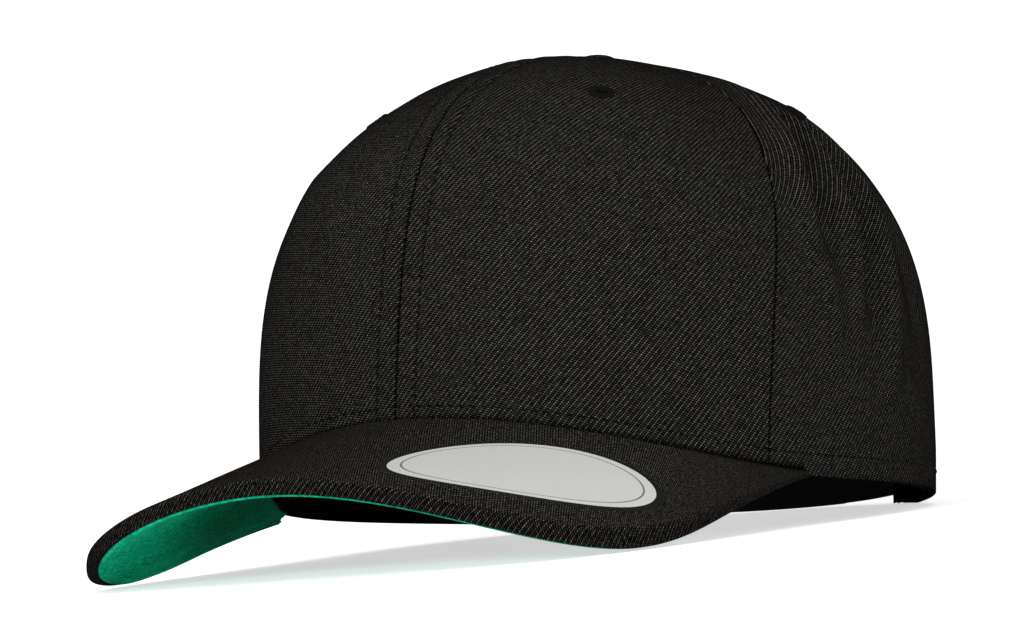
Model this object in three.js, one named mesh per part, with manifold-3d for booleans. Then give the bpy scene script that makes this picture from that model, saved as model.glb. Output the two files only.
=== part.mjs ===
// A snapback cap, as a three.js scene graph.
// Six cloth panels, each with a stitched eyelet, meet under a round button.
// An arched visor is sewn to the front, and two plastic straps snap together
// across the half-moon opening at the back.
import * as THREE from 'three';
import Module from 'manifold-3d';
import { mergeVertices } from 'three/addons/utils/BufferGeometryUtils.js';

const wasm = await Module();
wasm.setup();

// Sizes are in millimetres and angles in degrees.
// The cap frame: the origin is the middle of the back rim's level, -Y points
// to the visor, +X to the wearer's left and +Z up. An angle around the crown
// is 0 at the front, 90 at the wearer's left and 180 at the back.

const CLEARANCE = 0.3;
const cloth = { wall: 1.6, seamGap: 0.4, pressed: 0.8 };
const rim = { halfWidth: 84, frontReach: 98, backReach: 101, roundness: 2.05, levelFrom: 130 };
const crown = { height: 115, topShift: 3, topHole: 2.5 };
const visor = {
  rise: 11.5, pitch: 18.5, archRadius: 106, archWidening: 0.11,
  halfWidth: 81, widestAt: 76, frontReach: 159, squareness: 2.8,
  cornerAngle: 72, cornerWidth: 1.5, cornerThinning: 0.5, tuck: 2,
  coverWall: 3.2, undersideWall: 0.8, undersideInset: 1.2, columns: 34,
};
const sticker = { aroundAt: 53, forwardAt: 117, turn: 45, halfLength: 38, halfWidth: 16, wall: 0.3 };
const eyelet = { share: 0.84, hole: 1.5, sleeve: 2.5, flange: 4.5, thickness: 0.9 };
const button = { radius: 6.5, height: 4.2 };
const sweatband = { height: 30, wall: 1.2, endsBefore: 6, turnIn: 14 };
const opening = { halfWidth: 46, height: 58 };
const strap = { height: 19, wall: 1.2, lift: 2.9, sewnIn: 14, endMargin: 7 };
const snap = { count: 7, pitch: 9, shift: 1, peg: 1.8, head: 2.4, headHeight: 1 };

// How the wall curves in to the top, by side of the crown: a high wallPower
// keeps the wall straight for longer, topPower rounds the top, and lean is
// the share by which the wall comes in on its way up.
const profiles = {
  front: { wallPower: 4.2, topPower: 2.2, lean: 0.085 },
  side: { wallPower: 3.2, topPower: 1.75, lean: -0.08 },
  back: { wallPower: 3.4, topPower: 2.7, lean: 0.07 },
};

// Where each seam runs: its angle at the rim, its angle at the top, and how
// late on its way up it turns from the one to the other.
const seams = {
  centreFront: { foot: 0, top: 0, late: 1 },
  frontSide: { foot: 65, top: 78, late: 2.1 },
  sideBack: { foot: 122, top: 122, late: 1 },
  centreBack: { foot: 180, top: 180, late: 1 },
};

// Soft folds and dents of the crown. A fold runs from its foot angle at the
// low share of the height to its head angle at the high share. Its width is
// in degrees, and its rise is a share of the crown's height.
const folds = [
  { foot: 75, head: 89, low: 0.42, high: 0.95, width: 3.2, rise: 0.011 },
  { foot: 80, head: 92, low: 0.45, high: 0.93, width: 3.0, rise: -0.010 },
  { foot: 85, head: 94, low: 0.30, high: 0.88, width: 3.0, rise: 0.012 },
  { foot: 90, head: 95, low: 0.32, high: 0.84, width: 2.6, rise: -0.013 },
  { foot: 95, head: 100, low: 0.15, high: 0.90, width: 3.2, rise: 0.012 },
  { foot: 79, head: 78, low: 0.22, high: 0.62, width: 2.4, rise: 0.005 },
  { foot: 108, head: 112, low: 0.20, high: 0.85, width: 5.0, rise: -0.008 },
  { foot: -78, head: -90, low: 0.35, high: 0.92, width: 3.6, rise: 0.008 },
  { foot: -87, head: -95, low: 0.30, high: 0.88, width: 3.6, rise: -0.009 },
  { foot: -96, head: -101, low: 0.20, high: 0.86, width: 3.6, rise: 0.008 },
  { foot: -38, head: -30, low: 0.40, high: 0.98, width: 20, rise: -0.012 },
];

// Each panel lies between two seams. Side 1 is the wearer's left.
const panels = [
  { name: 'front_panel_left', side: 1, from: 'centreFront', to: 'frontSide', eyeletAt: 37, columns: 12 },
  { name: 'front_panel_right', side: -1, from: 'centreFront', to: 'frontSide', eyeletAt: 37, columns: 12 },
  { name: 'side_panel_left', side: 1, from: 'frontSide', to: 'sideBack', eyeletAt: 98, columns: 18 },
  { name: 'side_panel_right', side: -1, from: 'frontSide', to: 'sideBack', eyeletAt: 98, columns: 18 },
  { name: 'back_panel_left', side: 1, from: 'sideBack', to: 'centreBack', eyeletAt: 150, columns: 15 },
  { name: 'back_panel_right', side: -1, from: 'sideBack', to: 'centreBack', eyeletAt: 150, columns: 15 },
];

const colours = {
  crown: 0x262521, visor: 0x1e1d1a, underside: 0x0a5c3e, sticker: 0xc8c8c4,
  thread: 0x24231f, band: 0x1b1a18, plastic: 0x141413,
};

const rad = THREE.MathUtils.degToRad;
const smooth = THREE.MathUtils.smoothstep;
const mix = THREE.MathUtils.lerp;

// The crown's rim seen from above, a rounded oval.
function rimPlan(angle) {
  const s = Math.sin(angle);
  const c = Math.cos(angle);
  const reach = c > 0 ? rim.frontReach : rim.backReach;
  const powers = Math.abs(s) ** rim.roundness + Math.abs(c) ** rim.roundness;
  const scale = powers ** (-1 / rim.roundness);
  return { x: rim.halfWidth * s * scale, y: -reach * c * scale };
}

// The visor's top face: a pitched arch whose radius grows towards the front.
function visorTop(x, y) {
  const ridge = visor.rise + Math.tan(rad(visor.pitch)) * (y + rim.frontReach);
  const radius = archRadius(y);
  return ridge - radius + Math.sqrt(Math.max(radius ** 2 - x ** 2, 0));
}

function archRadius(y) {
  return visor.archRadius - visor.archWidening * y;
}

// The lower edge of the crown: just below the visor's top face at the front,
// then easing to the level of the back rim.
function rimHeight(angle) {
  const corner = rad(visor.cornerAngle);
  const turn = Math.min(Math.abs(angle), corner);
  const plan = rimPlan(turn);
  const atVisor = visorTop(plan.x, plan.y) - visor.tuck;
  return atVisor * (1 - smooth(Math.abs(angle), corner, rad(rim.levelFrom)));
}

// The crown without its folds. The share goes from 0 at the rim to 1 on top.
function crownSurface(angle, share) {
  const plan = rimPlan(angle);
  const low = rimHeight(angle);
  const c = Math.cos(angle);
  const weights = { front: Math.max(c, 0) ** 2, side: 1 - c ** 2, back: Math.max(-c, 0) ** 2 };
  const blend = (column) => Object.keys(weights)
    .reduce((sum, row) => sum + weights[row] * profiles[row][column], 0);
  const inward = 1 - Math.max(share, 0) ** blend('wallPower');
  const reach = (1 - blend('lean') * share) * Math.max(inward, 0) ** (1 / blend('topPower'));
  const y = plan.y * reach + crown.topShift * share ** 2;
  return new THREE.Vector3(plan.x * reach, y, mix(low, crown.height, share));
}

function foldRise(angle, share) {
  const degrees = THREE.MathUtils.radToDeg(angle);
  let rise = 0;
  for (const fold of folds) {
    const along = (share - fold.low) / (fold.high - fold.low);
    if (along <= 0 || along >= 1) continue;
    const off = (degrees - mix(fold.foot, fold.head, along ** 2)) / fold.width;
    rise += fold.rise * crown.height * Math.sin(Math.PI * along) * Math.exp(-(off ** 2));
  }
  return rise;
}

function crownNormal(angle, share) {
  const step = 1e-4;
  const across = crownSurface(angle + step, share).sub(crownSurface(angle - step, share));
  const up = crownSurface(angle, share + step).sub(crownSurface(angle, share - step));
  return across.cross(up).normalize();
}

// A point at a depth below the crown's outer face, measured square to it.
function crownPoint(angle, share, depth) {
  const lift = foldRise(angle, share) - depth;
  return crownSurface(angle, share).addScaledVector(crownNormal(angle, share), lift);
}

// The tilt at which the cap stands on its visor's tips and its back corners,
// with the soft back rim pressed flat by a little.
function restPose() {
  const visorEdge = [];
  for (let i = 0; i <= visor.columns; i += 1) {
    const u = 2 * i / visor.columns - 1;
    visorEdge.push(visorPoint(u, 1, visor.coverWall, 0));
    visorEdge.push(visorPoint(u, 1, undersideDepth() + visor.undersideWall, visor.undersideInset));
  }
  const backCorner = [0, cloth.wall].map((depth) => crownPoint(rearAngle(opening.halfWidth), 0, depth));
  const lowest = (points, tilt) => Math.min(...points
    .map((point) => point.z * Math.cos(tilt) - point.y * Math.sin(tilt)));
  let low = 0;
  let high = rad(30);
  for (let i = 0; i < 50; i += 1) {
    const middle = (low + high) / 2;
    const visorHangsLower = lowest(visorEdge, middle) < lowest(backCorner, middle) + cloth.pressed;
    if (visorHangsLower) low = middle;
    else high = middle;
  }
  return { tilt: low, lift: -lowest(visorEdge, low) };
}

// Presses a soft point onto the floor where it would lie below it.
function pressed(point) {
  const floor = (point.y * Math.sin(rest.tilt) - rest.lift) / Math.cos(rest.tilt);
  point.z = Math.max(point.z, floor);
  return point;
}

// An angle near the back, from a distance around the rim from its middle.
function rearAngle(distance) {
  return Math.PI - distance / rim.halfWidth;
}

// A closed body between two faces. pointAt takes shares across and up, and
// side 0 for the outer face or 1 for the inner one.
function closedSlab(columns, rows, pointAt) {
  const positions = [];
  for (const side of [0, 1]) {
    for (let j = 0; j <= rows; j += 1) {
      for (let i = 0; i <= columns; i += 1) {
        positions.push(...pointAt(i / columns, j / rows, side).toArray());
      }
    }
  }
  const index = [];
  const at = (i, j, side) => (side * (rows + 1) + j) * (columns + 1) + i;
  const quad = (a, b, c, d) => index.push(a, b, c, a, c, d);
  for (let j = 0; j < rows; j += 1) {
    for (let i = 0; i < columns; i += 1) {
      quad(at(i, j, 0), at(i + 1, j, 0), at(i + 1, j + 1, 0), at(i, j + 1, 0));
      quad(at(i, j, 1), at(i, j + 1, 1), at(i + 1, j + 1, 1), at(i + 1, j, 1));
    }
  }
  for (let i = 0; i < columns; i += 1) {
    quad(at(i, 0, 1), at(i + 1, 0, 1), at(i + 1, 0, 0), at(i, 0, 0));
    quad(at(i, rows, 0), at(i + 1, rows, 0), at(i + 1, rows, 1), at(i, rows, 1));
  }
  for (let j = 0; j < rows; j += 1) {
    quad(at(0, j, 0), at(0, j + 1, 0), at(0, j + 1, 1), at(0, j, 1));
    quad(at(columns, j, 1), at(columns, j + 1, 1), at(columns, j + 1, 0), at(columns, j, 0));
  }
  const geometry = new THREE.BufferGeometry();
  geometry.setAttribute('position', new THREE.Float32BufferAttribute(positions, 3));
  geometry.setIndex(signedVolume(positions, index) < 0 ? index.reverse() : index);
  return geometry;
}

function signedVolume(positions, index) {
  const corner = (k) => new THREE.Vector3().fromArray(positions, index[k] * 3);
  let volume = 0;
  for (let k = 0; k < index.length; k += 3) {
    volume += corner(k).dot(corner(k + 1).cross(corner(k + 2))) / 6;
  }
  return volume;
}

// A turned body about +Z, from a closed profile of radius and height.
function turned(profile, segments) {
  const points = profile.map(([radius, height]) => new THREE.Vector2(radius, height));
  return new THREE.LatheGeometry(points, segments).rotateX(Math.PI / 2);
}

function toManifold(geometry) {
  const bare = new THREE.BufferGeometry();
  bare.setAttribute('position', geometry.getAttribute('position').clone());
  bare.setIndex(geometry.getIndex());
  const merged = mergeVertices(bare, 1e-4);
  const mesh = new wasm.Mesh({
    numProp: 3,
    vertProperties: new Float32Array(merged.getAttribute('position').array),
    triVerts: new Uint32Array(merged.getIndex().array),
  });
  return new wasm.Manifold(mesh);
}

function fromManifold(solid) {
  const mesh = solid.getMesh();
  const geometry = new THREE.BufferGeometry();
  geometry.setAttribute('position', new THREE.BufferAttribute(mesh.vertProperties, 3));
  geometry.setIndex(new THREE.BufferAttribute(mesh.triVerts, 1));
  return geometry;
}

// Places a body so that its +Z stands square on the crown.
function standOnCrown(object, angle, share) {
  object.position.copy(crownPoint(angle, share, 0));
  object.quaternion.setFromUnitVectors(new THREE.Vector3(0, 0, 1), crownNormal(angle, share));
  object.updateMatrix();
  return object;
}

function piece(name, geometry, colour, roughness) {
  geometry.computeVertexNormals();
  const material = new THREE.MeshStandardMaterial({ color: colours[colour], roughness, metalness: 0 });
  const mesh = new THREE.Mesh(geometry, material);
  mesh.name = name;
  return mesh;
}

// The crown's panels

// How close to the top the cloth reaches, so that it leaves the top hole.
function topShare(angle) {
  let low = 0.5;
  let high = 1;
  for (let i = 0; i < 40; i += 1) {
    const middle = (low + high) / 2;
    const point = crownSurface(angle, middle);
    const outside = Math.hypot(point.x, point.y - crown.topShift * middle ** 2) > crown.topHole;
    if (outside) low = middle;
    else high = middle;
  }
  return low;
}

function seamAngle(name, share) {
  const seam = seams[name];
  return rad(mix(seam.foot, seam.top, Math.max(share, 0) ** seam.late));
}

// A column of a panel: its share across, and where its foot starts. The back
// panels' columns bunch up along the quarter round of the rear opening.
function panelColumn(panel, u) {
  if (panel.to !== 'centreBack') return { across: u, foot: 0 };
  const plain = 0.4;
  const from = seamAngle(panel.from, 0);
  const edge = rearAngle(opening.halfWidth);
  if (u <= plain) return { across: (edge - from) / (Math.PI - from) * u / plain, foot: 0 };
  const turn = (u - plain) / (1 - plain) * Math.PI / 2;
  const angle = Math.PI - (Math.PI - edge) * Math.cos(turn);
  return { across: (angle - from) / (Math.PI - from), foot: opening.height / crown.height * Math.sin(turn) };
}

function panelPoint(panel, u, v, depth) {
  const column = panelColumn(panel, u);
  const crowding = 2.2;
  const top = topShare(mix(seamAngle(panel.from, 1), seamAngle(panel.to, 1), column.across));
  const rowAt = (share) => 1 - (1 - share) ** (1 / crowding);
  const share = 1 - (1 - mix(rowAt(column.foot), rowAt(top), v)) ** crowding;
  const middle = mix(seamAngle(panel.from, share), seamAngle(panel.to, share), column.across);
  const around = crownSurface(middle, share);
  const radius = Math.hypot(around.x, around.y - crown.topShift * share ** 2);
  const halfGap = cloth.seamGap / 2 / radius;
  const from = seamAngle(panel.from, share) + halfGap;
  const to = seamAngle(panel.to, share) - halfGap;
  return pressed(crownPoint(panel.side * mix(from, to, column.across), share, depth));
}

function buildPanel(panel) {
  const faces = [0, cloth.wall];
  const shell = closedSlab(panel.columns, 13, (u, v, side) => panelPoint(panel, u, v, faces[side]));
  const reach = cloth.wall * 3;
  const drill = new THREE.CylinderGeometry(eyelet.sleeve + CLEARANCE, eyelet.sleeve + CLEARANCE, reach * 2, 10);
  const place = standOnCrown(new THREE.Object3D(), panel.side * rad(panel.eyeletAt), eyelet.share);
  drill.rotateX(Math.PI / 2).applyMatrix4(place.matrix);
  const cut = toManifold(shell).subtract(toManifold(drill));
  return piece(panel.name, fromManifold(cut), 'crown', 0.9);
}

// A stitched eyelet: a sleeve through the cloth under a raised thread ring.
function buildEyelet(panel) {
  const seat = CLEARANCE;
  const crest = seat + eyelet.thickness;
  const profile = [
    [eyelet.hole, -cloth.wall],
    [eyelet.sleeve, -cloth.wall],
    [eyelet.sleeve, seat],
    [eyelet.flange, seat],
    [mix(eyelet.flange, eyelet.hole, 0.2), mix(seat, crest, 0.7)],
    [mix(eyelet.flange, eyelet.hole, 0.6), crest],
    [eyelet.hole, mix(seat, crest, 0.5)],
    [eyelet.hole, -cloth.wall],
  ];
  const mesh = piece(panel.name.replace('panel', 'eyelet'), turned(profile, 10), 'thread', 0.8);
  return standOnCrown(mesh, panel.side * rad(panel.eyeletAt), eyelet.share);
}

// The cloth-covered button, whose stem passes through the top hole.
function buildButton() {
  const stem = crown.topHole - 2 * CLEARANCE;
  const profile = [[0, -cloth.wall], [stem, -cloth.wall], [stem, CLEARANCE], [button.radius, CLEARANCE]];
  for (let i = 1; i < 5; i += 1) {
    const turn = i / 5 * Math.PI / 2;
    profile.push([button.radius * Math.cos(turn) ** 0.7, CLEARANCE + button.height * Math.sin(turn)]);
  }
  profile.push([0, CLEARANCE + button.height]);
  const mesh = piece('top_button', turned(profile, 16), 'crown', 0.9);
  mesh.position.set(0, crown.topShift, crown.height);
  return mesh;
}

// The visor

// The outer edge, from the middle of the front (0) to the corner (1).
function visorOutline(u) {
  const bend = 0.72;
  const corner = rimPlan(rad(visor.cornerAngle));
  const side = Math.sign(u);
  const along = Math.abs(u);
  if (along <= bend) {
    const turn = along / bend * Math.PI / 2;
    const powers = Math.sin(turn) ** visor.squareness + Math.cos(turn) ** visor.squareness;
    const scale = powers ** (-1 / visor.squareness);
    const depth = visor.frontReach - visor.widestAt;
    return { x: side * visor.halfWidth * Math.sin(turn) * scale, y: -visor.widestAt - depth * Math.cos(turn) * scale };
  }
  const back = (along - bend) / (1 - bend);
  const cornerX = corner.x + visor.cornerWidth;
  return { x: side * mix(visor.halfWidth, cornerX, back ** 2), y: mix(-visor.widestAt, corner.y, back) };
}

// A point of the visor: u from corner to corner, v from the crown outwards,
// at a depth below the top face. The inset draws the outer edge in.
function visorPoint(u, v, depth, inset) {
  const angle = u * rad(visor.cornerAngle);
  const thinned = depth * (1 - visor.cornerThinning * smooth(Math.abs(u), 0.8, 1));
  const inner = crownPoint(angle, visor.tuck / crown.height, -CLEARANCE);
  const outer = visorOutline(u);
  const width = Math.hypot(outer.x - inner.x, outer.y - inner.y);
  const reach = v * (1 - Math.min(inset / width, 0.4));
  return belowVisorTop(mix(inner.x, outer.x, reach), mix(inner.y, outer.y, reach), thinned);
}

function belowVisorTop(x, y, depth) {
  const step = 0.01;
  const slopeX = (visorTop(x + step, y) - visorTop(x - step, y)) / (2 * step);
  const slopeY = (visorTop(x, y + step) - visorTop(x, y - step)) / (2 * step);
  const steepness = Math.hypot(1, slopeX, slopeY);
  return new THREE.Vector3(x, y, visorTop(x, y) - depth * steepness);
}

function undersideDepth() {
  return visor.coverWall + CLEARANCE;
}

function buildVisorLayer(name, depth, wall, inset, colour) {
  const faces = [depth, depth + wall];
  const layer = closedSlab(visor.columns, 5, (u, v, side) => visorPoint(2 * u - 1, v, faces[side], inset));
  return piece(name, layer, colour, 0.85);
}

// The plain oval sticker, turned on the visor's left and following its arch.
function buildSticker() {
  const faces = [CLEARANCE + sticker.wall, CLEARANCE];
  const turn = rad(sticker.turn);
  const geometry = closedSlab(10, 8, (u, v, side) => {
    const across = 2 * u - 1;
    const along = 2 * v - 1;
    const p = sticker.halfLength * across * Math.sqrt(1 - along ** 2 / 2);
    const q = sticker.halfWidth * along * Math.sqrt(1 - across ** 2 / 2);
    const around = sticker.aroundAt + p * Math.cos(turn) - q * Math.sin(turn);
    const y = -sticker.forwardAt + p * Math.sin(turn) + q * Math.cos(turn);
    return belowVisorTop(archRadius(y) * Math.sin(around / archRadius(y)), y, -faces[side]);
  });
  return piece('visor_sticker', geometry, 'sticker', 0.4);
}

// The band inside the rim. Its ends step inwards over the sewn-in straps.
function buildSweatband() {
  const outside = cloth.wall + CLEARANCE;
  const overStraps = 2 * (strap.wall + CLEARANCE);
  const end = rearAngle(opening.halfWidth + sweatband.endsBefore);
  const stepTo = rearAngle(opening.halfWidth + strap.sewnIn + 2);
  const stepFrom = rearAngle(opening.halfWidth + strap.sewnIn + 2 + sweatband.turnIn);
  const geometry = closedSlab(44, 1, (u, v, side) => {
    const angle = mix(-end, end, u);
    const depth = outside + overStraps * smooth(Math.abs(angle), stepFrom, stepTo) + side * sweatband.wall;
    return pressed(crownPoint(angle, v * sweatband.height / crown.height, depth));
  });
  return piece('sweatband', geometry, 'band', 0.9);
}

// The snap closure

// A strap comes out from under one side of the opening and ends in a half
// round on the other side. Side 1 comes from the wearer's left.
function strapBody(side, depth) {
  const half = strap.height / 2;
  const root = opening.halfWidth + strap.sewnIn;
  const end = -snapPlace(snap.count - 1, 1) + snap.pitch * snap.shift - strap.endMargin;
  const straight = 0.7;
  const faces = [depth, depth + strap.wall];
  return closedSlab(20, 2, (u, v, face) => {
    const turn = Math.max(u - straight, 0) / (1 - straight) * Math.PI / 2;
    const distance = mix(root, end + half, Math.min(u / straight, 1)) - half * Math.sin(turn);
    const height = strap.lift + half + half * (2 * v - 1) * Math.max(Math.cos(turn), 0.12);
    return crownPoint(rearAngle(side * distance), height / crown.height, faces[face]);
  });
}

// The distance of a snap from the middle, towards the strap's own side.
function snapPlace(number, side) {
  return (number - (snap.count - 1) / 2 + side * snap.shift / 2) * snap.pitch;
}

function onEachSnap(side, makeShape) {
  const shapes = [];
  for (let number = 0; number < snap.count; number += 1) {
    const angle = rearAngle(snapPlace(number, side));
    const share = (strap.lift + strap.height / 2) / crown.height;
    const place = standOnCrown(new THREE.Object3D(), angle, share);
    shapes.push(toManifold(makeShape().applyMatrix4(place.matrix)));
  }
  return shapes;
}

function buildHoleStrap() {
  const depth = cloth.wall + CLEARANCE;
  const radius = snap.peg + CLEARANCE;
  const drill = () => new THREE.CylinderGeometry(radius, radius, 20, 10).rotateX(Math.PI / 2);
  let body = toManifold(strapBody(-1, depth));
  for (const hole of onEachSnap(-1, drill)) body = body.subtract(hole);
  return piece('snap_strap_holes', fromManifold(body), 'plastic', 0.45);
}

function buildPegStrap() {
  const depth = cloth.wall + strap.wall + 2 * CLEARANCE;
  const headSeat = -cloth.wall;
  const peg = () => turned([
    [0, -depth - strap.wall / 2],
    [snap.peg, -depth - strap.wall / 2],
    [snap.peg, headSeat],
    [snap.head, headSeat],
    [snap.head * 0.8, headSeat + snap.headHeight * 0.75],
    [0, headSeat + snap.headHeight],
  ], 10);
  let body = toManifold(strapBody(1, depth));
  for (const shape of onEachSnap(1, peg)) body = body.add(shape);
  return piece('snap_strap_pegs', fromManifold(body), 'plastic', 0.45);
}

// The assembly

const rest = restPose();
const cap = new THREE.Group();
for (const panel of panels) {
  cap.add(buildPanel(panel));
  cap.add(buildEyelet(panel));
}
cap.add(buildButton());
cap.add(buildVisorLayer('visor_cover', 0, visor.coverWall, 0, 'visor'));
cap.add(buildVisorLayer('visor_underside', undersideDepth(), visor.undersideWall, visor.undersideInset, 'underside'));
cap.add(buildSticker());
cap.add(buildSweatband());
cap.add(buildHoleStrap());
cap.add(buildPegStrap());
cap.rotation.x = -rest.tilt;
cap.position.z = rest.lift;

// The object's origin is the middle of its footprint, on the floor.
const middle = new THREE.Box3().setFromObject(cap, true).getCenter(new THREE.Vector3());
cap.position.x = -middle.x;
cap.position.y = -middle.y;

const object = new THREE.Group();
object.add(cap);

export default object;
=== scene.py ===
# %% [markdown]
# # A snapback cap
# This lesson dresses a plain model of a snap closure cap with cloth, thread,
# plastic and foil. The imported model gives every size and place. Each visible
# piece is a surface worked out with numpy from the same few sizes, so it lies
# exactly where its plain solid lies.

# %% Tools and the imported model
from functools import partial

import bpy
import numpy as np
from mathutils import Matrix, Vector


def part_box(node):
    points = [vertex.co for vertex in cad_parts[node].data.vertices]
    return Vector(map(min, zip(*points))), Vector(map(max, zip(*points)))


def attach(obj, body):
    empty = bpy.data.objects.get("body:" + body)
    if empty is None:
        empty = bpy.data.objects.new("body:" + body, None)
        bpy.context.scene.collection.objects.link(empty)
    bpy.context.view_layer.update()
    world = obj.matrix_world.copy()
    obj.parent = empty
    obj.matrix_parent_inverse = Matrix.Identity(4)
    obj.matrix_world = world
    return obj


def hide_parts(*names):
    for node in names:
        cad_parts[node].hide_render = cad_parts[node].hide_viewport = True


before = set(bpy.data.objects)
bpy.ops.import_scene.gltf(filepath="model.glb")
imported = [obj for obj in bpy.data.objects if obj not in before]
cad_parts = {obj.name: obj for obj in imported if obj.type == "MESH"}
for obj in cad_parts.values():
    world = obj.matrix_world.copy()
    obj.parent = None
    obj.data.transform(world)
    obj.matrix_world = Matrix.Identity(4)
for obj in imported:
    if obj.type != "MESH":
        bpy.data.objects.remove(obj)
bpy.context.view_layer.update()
print("nodes:", len(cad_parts))

# %% [markdown]
# ## The cap's sizes
# A cap is drafted from its rim: how wide and long the head is, how high the
# crown stands, and how the visor is pitched and arched. These are the sizes
# of the plain model, in millimetres and degrees, in the cap's own frame: the
# origin in the middle of the back rim's level, -Y to the visor, +X to the
# wearer's left. An angle is 0 at the front and 90 at the wearer's left.

# %% Sizes of the crown, the visor and the closure
MM = 0.001
CLEARANCE = 0.3
WALL = 1.6
PRESSED = 0.8
RIM_HALF_WIDTH, RIM_FRONT, RIM_BACK, RIM_ROUNDNESS, RIM_LEVEL_FROM = 84, 98, 101, 2.05, 130
CROWN_HEIGHT, TOP_SHIFT = 115, 3
VISOR_RISE, VISOR_PITCH, ARCH_RADIUS, ARCH_WIDENING = 11.5, 18.5, 106, 0.11
VISOR_HALF_WIDTH, VISOR_WIDEST, VISOR_FRONT, VISOR_SQUARENESS = 81, 76, 159, 2.8
CORNER_ANGLE, CORNER_WIDTH, CORNER_THINNING, VISOR_TUCK = 72, 1.5, 0.5, 2
THINS_FROM, SOFT_THINS_FROM, SOFT_THINNING = 0.8, 0.5, 0.82
COVER_WALL, UNDERSIDE_WALL, UNDERSIDE_INSET, VISOR_COLUMNS = 3.2, 0.8, 1.2, 34
OPENING_HALF_WIDTH, OPENING_HEIGHT = 46, 58

# wall power, top power and lean of the crown at its front, side and back
PROFILES = {"front": (4.2, 2.2, 0.085), "side": (3.2, 1.75, -0.08), "back": (3.4, 2.7, 0.07)}
# angle at the rim, angle on top, and how late the seam turns between them
SEAMS = {
    "centre front": (0, 0, 1),
    "front side": (65, 78, 2.1),
    "side back": (122, 122, 1),
    "centre back": (180, 180, 1),
}
# foot angle, head angle, low share, high share, width in degrees, rise as a share of the height
FOLDS = [
    (75, 89, 0.42, 0.95, 2.6, 0.013),
    (80, 92, 0.45, 0.93, 2.3, -0.013),
    (85, 94, 0.30, 0.88, 2.3, 0.015),
    (90, 95, 0.32, 0.84, 2.1, -0.016),
    (95, 100, 0.15, 0.90, 2.5, 0.015),
    (79, 78, 0.22, 0.62, 2.4, 0.006),
    (108, 112, 0.20, 0.85, 5.0, -0.009),
    (90, 96, 0.70, 0.995, 16, 0.010),
    (122, 118, 0.10, 0.99, 20, -0.008),
    (-78, -90, 0.35, 0.92, 3.6, 0.008),
    (-87, -95, 0.30, 0.88, 3.6, -0.009),
    (-96, -101, 0.20, 0.86, 3.6, 0.008),
    (-45, -38, 0.70, 0.99, 24, -0.013),
]
# folds narrower than this many degrees are made this many times as high
NARROW_FOLD, FOLD_STRENGTH = 10, 2.1


# %% [markdown]
# ## The shape of the crown
# Seen from above the rim is a rounded oval. From each point of it the wall
# rises almost straight and then rounds in to the button. One formula with
# two parameters, the angle around and the share of the height, gives every
# point of the crown, so panels, stitches and eyelets all share one surface.

# %% The rim, the visor's arch and the crown as functions
def smooth(value, low, high):
    """A share that eases from 0 at low to 1 at high: 3 t squared minus 2 t cubed."""
    t = np.clip((value - low) / (high - low), 0, 1)
    return t * t * (3 - 2 * t)


def mix(a, b, share):
    """The point at a share of the way from a to b."""
    return a + (b - a) * share


def bell(value, middle, width):
    """One at the middle, fading away on both sides."""
    return np.exp(-((value - middle) / width) ** 2)


def run_length(points, axis=0):
    """The distance run from the start of a path, or along one axis of a grid."""
    steps = np.linalg.norm(np.diff(points, axis=axis), axis=-1)
    return np.concatenate([0 * steps.take([0], axis), np.cumsum(steps, axis=axis)], axis=axis)


def full_turn(count):
    """Equal steps all around, as one row of angles."""
    return np.linspace(0, 2 * np.pi, count, endpoint=False)[None]


def turned(radius, height, around):
    """A profile turned about the Z axis."""
    return np.stack([radius * np.cos(around), radius * np.sin(around), height + 0 * around], -1)


def rim_plan(angle):
    """The rounded oval: sine and cosine scaled until their powers add to one."""
    s, c = np.sin(angle), np.cos(angle)
    reach = np.where(c > 0, RIM_FRONT, RIM_BACK)
    scale = (np.abs(s) ** RIM_ROUNDNESS + np.abs(c) ** RIM_ROUNDNESS) ** (-1 / RIM_ROUNDNESS)
    return RIM_HALF_WIDTH * s * scale, -reach * c * scale


def arch_radius(y):
    """The visor's arch opens steadily towards the front."""
    return ARCH_RADIUS - ARCH_WIDENING * y


def visor_top(x, y):
    """Height of a pitched arch: the ridge line minus the drop of a circle at x."""
    ridge = VISOR_RISE + np.tan(np.radians(VISOR_PITCH)) * (y + RIM_FRONT)
    radius = arch_radius(y)
    return ridge - radius + np.sqrt(np.maximum(radius ** 2 - x ** 2, 0))


def rim_height(angle):
    """The crown's lower edge: under the visor's top at the front, level at the back."""
    corner = np.radians(CORNER_ANGLE)
    at_visor = visor_top(*rim_plan(np.minimum(np.abs(angle), corner))) - VISOR_TUCK
    return at_visor * (1 - smooth(np.abs(angle), corner, np.radians(RIM_LEVEL_FROM)))


def crown_surface(angle, share):
    """The oval rises and closes in: reach is (1 - share^wall) ^ (1 / top), with a lean."""
    x, y = rim_plan(angle)
    low, c = rim_height(angle), np.cos(angle)
    weights = {"front": np.maximum(c, 0) ** 2, "side": 1 - c ** 2, "back": np.maximum(-c, 0) ** 2}
    wall, top, lean = (sum(weights[row] * PROFILES[row][k] for row in weights) for k in range(3))
    inward = np.maximum(1 - np.maximum(share, 0) ** wall, 0)
    reach = (1 - lean * share) * inward ** (1 / top)
    height = mix(low, CROWN_HEIGHT, share)
    return np.stack(np.broadcast_arrays(x * reach, y * reach + TOP_SHIFT * share ** 2, height), -1)


def fold_rise(angle, share):
    """Each fold is a bell across its line and half a sine along it."""
    degrees = np.degrees(angle)
    rise = np.zeros(np.broadcast(angle, share).shape)
    for foot, head, low, high, width, height in FOLDS:
        along = np.clip((share - low) / (high - low), 0, 1)
        line = mix(foot, head, along ** 2)
        strength = FOLD_STRENGTH if width < NARROW_FOLD else 1
        rise = rise + strength * height * CROWN_HEIGHT * np.sin(np.pi * along) * bell(degrees, line, width)
    return rise


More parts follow.
